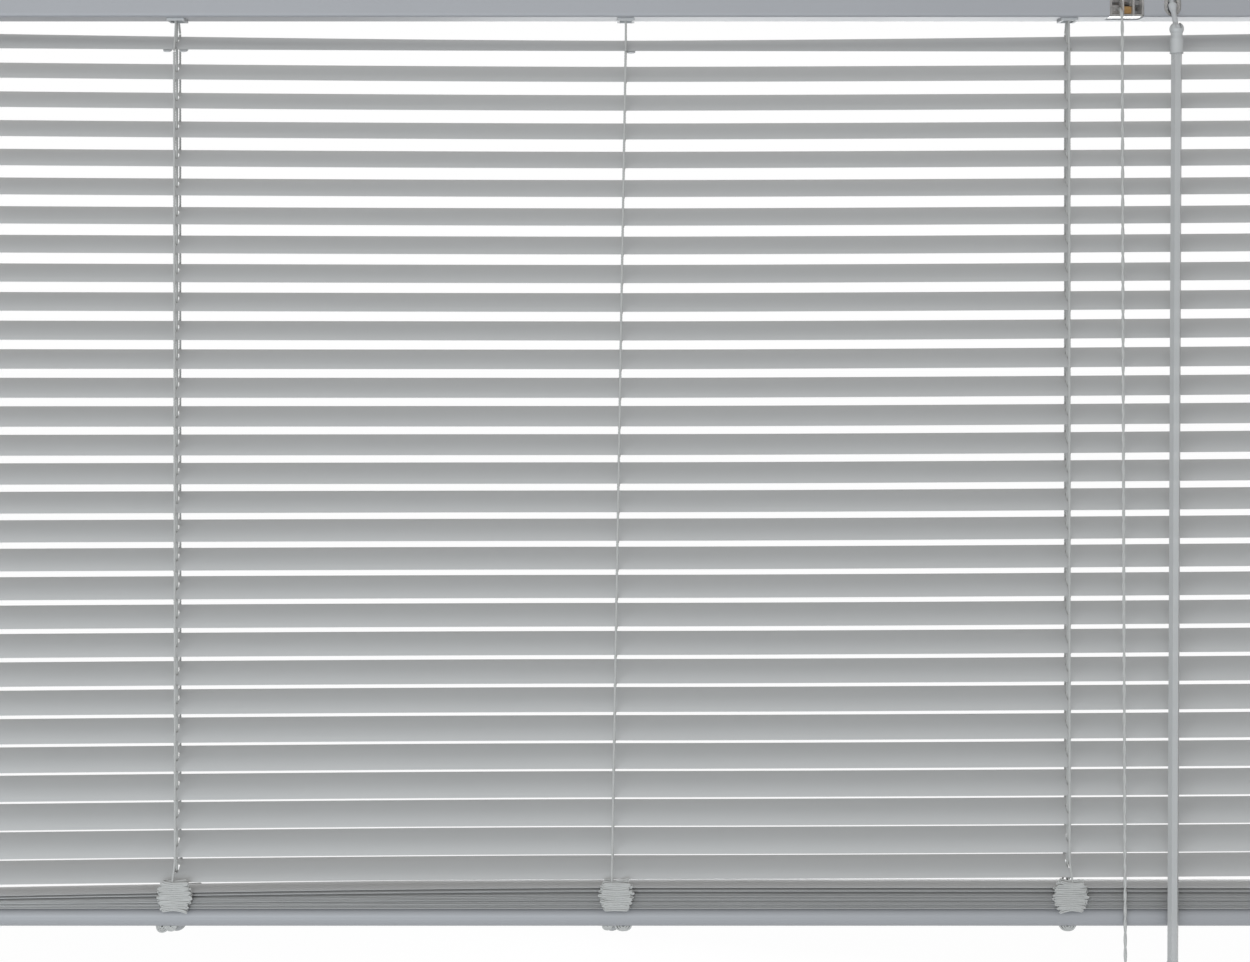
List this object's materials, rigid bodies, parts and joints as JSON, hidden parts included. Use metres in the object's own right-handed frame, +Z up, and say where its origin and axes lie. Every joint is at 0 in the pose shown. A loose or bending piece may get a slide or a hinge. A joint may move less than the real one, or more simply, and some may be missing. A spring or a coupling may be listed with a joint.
{
  "type": "horizontal slat blind",
  "caption": "Venetian blind with aluminium slats in string ladders, partly raised onto its bottom rail, with a tilting wand, pull cord, cord lock and end brackets.",
  "frame": {"origin": "on the ceiling plane, midway between the screw holes of the two end brackets", "axes": "+X along the headrail to the right as seen from the room, -Y into the room, +Z up"},
  "size_m": [1.0056, 0.0447, 0.8053],
  "materials": {
    "headrail_enamel": "satin stove enamel",
    "bracket_enamel": "satin stove enamel",
    "slat_enamel": "satin coil coating",
    "rail_enamel": "satin coil coating",
    "end_cap_plastic": "moulded",
    "mechanism_plastic": "moulded",
    "clear_plastic": "clear, moulded",
    "rod_steel": "drawn",
    "roller_brass": "knurled",
    "wand_cap_plastic": "clear, moulded",
    "wand_acrylic": "clear, extruded",
    "cord_yarn": "braided",
    "tassel_plastic": "moulded",
    "plug_plastic": "moulded"
  },
  "bodies": {
    "headrail": {"headrail": "headrail_enamel", "headrail_end_caps": "end_cap_plastic", "mounting_brackets": "bracket_enamel", "drum_cradles": "mechanism_plastic", "cord_lock_body": "clear_plastic", "cord_lock_pin": "rod_steel", "tilter_housing": "clear_plastic", "lift_cords": "cord_yarn", "ladder_tails_upper": "cord_yarn", "ladder_tails_lower": "cord_yarn", "pull_cord": "cord_yarn", "tassel": "tassel_plastic", "bottom_rail": "rail_enamel", "rail_end_caps": "end_cap_plastic", "cord_plugs": "plug_plastic", "stacked_slats": "slat_enamel", "gathered_ladders": "cord_yarn"},
    "tilt_shaft": {"tilt_rod": "rod_steel", "tilt_drums": "mechanism_plastic", "tilter_gear": "mechanism_plastic"},
    "lock_roller": {"cord_lock_roller": "roller_brass"},
    "gate_left": {"gate_left": "bracket_enamel"},
    "gate_right": {"gate_right": "bracket_enamel"},
    "worm": {"worm_stem": "mechanism_plastic"},
    "wand_cap": {"wand_cap": "wand_cap_plastic"},
    "wand": {"wand_rod": "wand_acrylic", "wand_grip": "wand_acrylic"},
    "front_strings": {"front_strings": "cord_yarn"},
    "back_strings": {"back_strings": "cord_yarn"},
    "slat_01": {"slat_01": "slat_enamel"},
    "slat_02": {"slat_02": "slat_enamel"},
    "slat_03": {"slat_03": "slat_enamel"},
    "slat_04": {"slat_04": "slat_enamel"},
    "slat_05": {"slat_05": "slat_enamel"},
    "slat_06": {"slat_06": "slat_enamel"},
    "slat_07": {"slat_07": "slat_enamel"},
    "slat_08": {"slat_08": "slat_enamel"},
    "slat_09": {"slat_09": "slat_enamel"},
    "slat_10": {"slat_10": "slat_enamel"},
    "slat_11": {"slat_11": "slat_enamel"},
    "slat_12": {"slat_12": "slat_enamel"},
    "slat_13": {"slat_13": "slat_enamel"},
    "slat_14": {"slat_14": "slat_enamel"},
    "slat_15": {"slat_15": "slat_enamel"},
    "slat_16": {"slat_16": "slat_enamel"},
    "slat_17": {"slat_17": "slat_enamel"},
    "slat_18": {"slat_18": "slat_enamel"},
    "slat_19": {"slat_19": "slat_enamel"},
    "slat_20": {"slat_20": "slat_enamel"},
    "slat_21": {"slat_21": "slat_enamel"},
    "slat_22": {"slat_22": "slat_enamel"},
    "slat_23": {"slat_23": "slat_enamel"},
    "slat_24": {"slat_24": "slat_enamel"},
    "slat_25": {"slat_25": "slat_enamel"},
    "slat_26": {"slat_26": "slat_enamel"},
    "slat_27": {"slat_27": "slat_enamel"},
    "slat_28": {"slat_28": "slat_enamel"},
    "slat_29": {"slat_29": "slat_enamel"},
    "slat_30": {"slat_30": "slat_enamel"}
  },
  "joints": [
    {"name": "tilt", "type": "hinge", "parent": "headrail", "child": "tilt_shaft", "pos_m": [0, 0, -0.0133], "axis": [1, 0, 0], "range_deg": [-288, 100], "deforming": ["ladder_tails_upper", "ladder_tails_lower"]},
    {"name": "slat_01_tilt", "type": "hinge", "parent": "headrail", "child": "slat_01", "pos_m": [0, 0, -0.0451], "axis": [1, 0, 0], "range_deg": [-103.68, 36]},
    {"name": "slat_02_tilt", "type": "hinge", "parent": "headrail", "child": "slat_02", "pos_m": [0, 0, -0.0666], "axis": [1, 0, 0], "range_deg": [-103.68, 36]},
    {"name": "slat_03_tilt", "type": "hinge", "parent": "headrail", "child": "slat_03", "pos_m": [0, 0, -0.0881], "axis": [1, 0, 0], "range_deg": [-103.68, 36]},
    {"name": "slat_04_tilt", "type": "hinge", "parent": "headrail", "child": "slat_04", "pos_m": [0, 0, -0.1096], "axis": [1, 0, 0], "range_deg": [-103.68, 36]},
    {"name": "slat_05_tilt", "type": "hinge", "parent": "headrail", "child": "slat_05", "pos_m": [0, 0, -0.1311], "axis": [1, 0, 0], "range_deg": [-103.68, 36]},
    {"name": "slat_06_tilt", "type": "hinge", "parent": "headrail", "child": "slat_06", "pos_m": [0, 0, -0.1526], "axis": [1, 0, 0], "range_deg": [-103.68, 36]},
    {"name": "slat_07_tilt", "type": "hinge", "parent": "headrail", "child": "slat_07", "pos_m": [0, 0, -0.1741], "axis": [1, 0, 0], "range_deg": [-103.68, 36]},
    {"name": "slat_08_tilt", "type": "hinge", "parent": "headrail", "child": "slat_08", "pos_m": [0, 0, -0.1956], "axis": [1, 0, 0], "range_deg": [-103.68, 36]},
    {"name": "slat_09_tilt", "type": "hinge", "parent": "headrail", "child": "slat_09", "pos_m": [0, 0, -0.2171], "axis": [1, 0, 0], "range_deg": [-103.68, 36]},
    {"name": "slat_10_tilt", "type": "hinge", "parent": "headrail", "child": "slat_10", "pos_m": [0, 0, -0.2386], "axis": [1, 0, 0], "range_deg": [-103.68, 36]},
    {"name": "slat_11_tilt", "type": "hinge", "parent": "headrail", "child": "slat_11", "pos_m": [0, 0, -0.2601], "axis": [1, 0, 0], "range_deg": [-103.68, 36]},
    {"name": "slat_12_tilt", "type": "hinge", "parent": "headrail", "child": "slat_12", "pos_m": [0, 0, -0.2816], "axis": [1, 0, 0], "range_deg": [-103.68, 36]},
    {"name": "slat_13_tilt", "type": "hinge", "parent": "headrail", "child": "slat_13", "pos_m": [0, 0, -0.3031], "axis": [1, 0, 0], "range_deg": [-103.68, 36]},
    {"name": "slat_14_tilt", "type": "hinge", "parent": "headrail", "child": "slat_14", "pos_m": [0, 0, -0.3246], "axis": [1, 0, 0], "range_deg": [-103.68, 36]},
    {"name": "slat_15_tilt", "type": "hinge", "parent": "headrail", "child": "slat_15", "pos_m": [0, 0, -0.3461], "axis": [1, 0, 0], "range_deg": [-103.68, 36]},
    {"name": "slat_16_tilt", "type": "hinge", "parent": "headrail", "child": "slat_16", "pos_m": [0, 0, -0.3676], "axis": [1, 0, 0], "range_deg": [-103.68, 36]},
    {"name": "slat_17_tilt", "type": "hinge", "parent": "headrail", "child": "slat_17", "pos_m": [0, 0, -0.3891], "axis": [1, 0, 0], "range_deg": [-103.68, 36]},
    {"name": "slat_18_tilt", "type": "hinge", "parent": "headrail", "child": "slat_18", "pos_m": [0, 0, -0.4106], "axis": [1, 0, 0], "range_deg": [-103.68, 36]},
    {"name": "slat_19_tilt", "type": "hinge", "parent": "headrail", "child": "slat_19", "pos_m": [0, 0, -0.4321], "axis": [1, 0, 0], "range_deg": [-103.68, 36]},
    {"name": "slat_20_tilt", "type": "hinge", "parent": "headrail", "child": "slat_20", "pos_m": [0, 0, -0.4536], "axis": [1, 0, 0], "range_deg": [-103.68, 36]},
    {"name": "slat_21_tilt", "type": "hinge", "parent": "headrail", "child": "slat_21", "pos_m": [0, 0, -0.4751], "axis": [1, 0, 0], "range_deg": [-103.68, 36]},
    {"name": "slat_22_tilt", "type": "hinge", "parent": "headrail", "child": "slat_22", "pos_m": [0, 0, -0.4966], "axis": [1, 0, 0], "range_deg": [-103.68, 36]},
    {"name": "slat_23_tilt", "type": "hinge", "parent": "headrail", "child": "slat_23", "pos_m": [0, 0, -0.5181], "axis": [1, 0, 0], "range_deg": [-103.68, 36]},
    {"name": "slat_24_tilt", "type": "hinge", "parent": "headrail", "child": "slat_24", "pos_m": [0, 0, -0.5396], "axis": [1, 0, 0], "range_deg": [-103.68, 36]},
    {"name": "slat_25_tilt", "type": "hinge", "parent": "headrail", "child": "slat_25", "pos_m": [0, 0, -0.5611], "axis": [1, 0, 0], "range_deg": [-103.68, 36]},
    {"name": "slat_26_tilt", "type": "hinge", "parent": "headrail", "child": "slat_26", "pos_m": [0, 0, -0.5826], "axis": [1, 0, 0], "range_deg": [-103.68, 36]},
    {"name": "slat_27_tilt", "type": "hinge", "parent": "headrail", "child": "slat_27", "pos_m": [0, 0, -0.6041], "axis": [1, 0, 0], "range_deg": [-103.68, 36]},
    {"name": "slat_28_tilt", "type": "hinge", "parent": "headrail", "child": "slat_28", "pos_m": [0, 0, -0.6256], "axis": [1, 0, 0], "range_deg": [-103.68, 36]},
    {"name": "slat_29_tilt", "type": "hinge", "parent": "headrail", "child": "slat_29", "pos_m": [0, 0, -0.6471], "axis": [1, 0, 0], "range_deg": [-103.68, 36]},
    {"name": "slat_30_tilt", "type": "hinge", "parent": "headrail", "child": "slat_30", "pos_m": [0, 0, -0.6672], "axis": [1, 0, 0], "range_deg": [-67.39, 23.4]},
    {"name": "front_strings_swing", "type": "hinge", "parent": "slat_01", "child": "front_strings", "pos_m": [0, -0.01194, -0.05476], "axis": [1, 0, 0], "range_deg": [-36, 103.68]},
    {"name": "back_strings_swing", "type": "hinge", "parent": "slat_01", "child": "back_strings", "pos_m": [0, 0.01343, -0.03765], "axis": [1, 0, 0], "range_deg": [-36, 103.68]},
    {"name": "worm_spin", "type": "hinge", "parent": "headrail", "child": "worm", "pos_m": [0.4127, -0.00706, -0.00954], "axis": [0, -0.4695, -0.8829], "range_deg": [-1728, 600]},
    {"name": "wand_swing", "type": "hinge", "parent": "headrail", "child": "wand_cap", "pos_m": [0.4127, -0.02171, -0.03709], "axis": [1, 0, 0], "range_deg": [-60, 0]},
    {"name": "wand_spin", "type": "hinge", "parent": "wand_cap", "child": "wand", "pos_m": [0.4127, -0.02171, -0.03709], "axis": [-0.0042, 0, -1], "range_deg": [-1728, 600]},
    {"name": "roller_slide", "type": "slide", "parent": "headrail", "child": "lock_roller", "axis": [0, 0.5736, 0.8192], "range_m": [0, 0.0035]},
    {"name": "gate_left_hinge", "type": "hinge", "parent": "headrail", "child": "gate_left", "pos_m": [-0.4918, -0.0144, -0.0015], "axis": [-1, 0, 0], "range_deg": [0, 80]},
    {"name": "gate_right_hinge", "type": "hinge", "parent": "headrail", "child": "gate_right", "pos_m": [0.4918, -0.0144, -0.0015], "axis": [-1, 0, 0], "range_deg": [0, 80]}
  ],
  "couplings": [
    {"joint": "slat_01_tilt", "follows": "tilt", "ratio": 0.36},
    {"joint": "slat_02_tilt", "follows": "tilt", "ratio": 0.36},
    {"joint": "slat_03_tilt", "follows": "tilt", "ratio": 0.36},
    {"joint": "slat_04_tilt", "follows": "tilt", "ratio": 0.36},
    {"joint": "slat_05_tilt", "follows": "tilt", "ratio": 0.36},
    {"joint": "slat_06_tilt", "follows": "tilt", "ratio": 0.36},
    {"joint": "slat_07_tilt", "follows": "tilt", "ratio": 0.36},
    {"joint": "slat_08_tilt", "follows": "tilt", "ratio": 0.36},
    {"joint": "slat_09_tilt", "follows": "tilt", "ratio": 0.36},
    {"joint": "slat_10_tilt", "follows": "tilt", "ratio": 0.36},
    {"joint": "slat_11_tilt", "follows": "tilt", "ratio": 0.36},
    {"joint": "slat_12_tilt", "follows": "tilt", "ratio": 0.36},
    {"joint": "slat_13_tilt", "follows": "tilt", "ratio": 0.36},
    {"joint": "slat_14_tilt", "follows": "tilt", "ratio": 0.36},
    {"joint": "slat_15_tilt", "follows": "tilt", "ratio": 0.36},
    {"joint": "slat_16_tilt", "follows": "tilt", "ratio": 0.36},
    {"joint": "slat_17_tilt", "follows": "tilt", "ratio": 0.36},
    {"joint": "slat_18_tilt", "follows": "tilt", "ratio": 0.36},
    {"joint": "slat_19_tilt", "follows": "tilt", "ratio": 0.36},
    {"joint": "slat_20_tilt", "follows": "tilt", "ratio": 0.36},
    {"joint": "slat_21_tilt", "follows": "tilt", "ratio": 0.36},
    {"joint": "slat_22_tilt", "follows": "tilt", "ratio": 0.36},
    {"joint": "slat_23_tilt", "follows": "tilt", "ratio": 0.36},
    {"joint": "slat_24_tilt", "follows": "tilt", "ratio": 0.36},
    {"joint": "slat_25_tilt", "follows": "tilt", "ratio": 0.36},
    {"joint": "slat_26_tilt", "follows": "tilt", "ratio": 0.36},
    {"joint": "slat_27_tilt", "follows": "tilt", "ratio": 0.36},
    {"joint": "slat_28_tilt", "follows": "tilt", "ratio": 0.36},
    {"joint": "slat_29_tilt", "follows": "tilt", "ratio": 0.36},
    {"joint": "slat_30_tilt", "follows": "tilt", "ratio": 0.234},
    {"joint": "front_strings_swing", "follows": "tilt", "ratio": -0.36},
    {"joint": "back_strings_swing", "follows": "tilt", "ratio": -0.36},
    {"joint": "worm_spin", "follows": "tilt", "ratio": 6},
    {"joint": "wand_spin", "follows": "tilt", "ratio": 6}
  ]
}
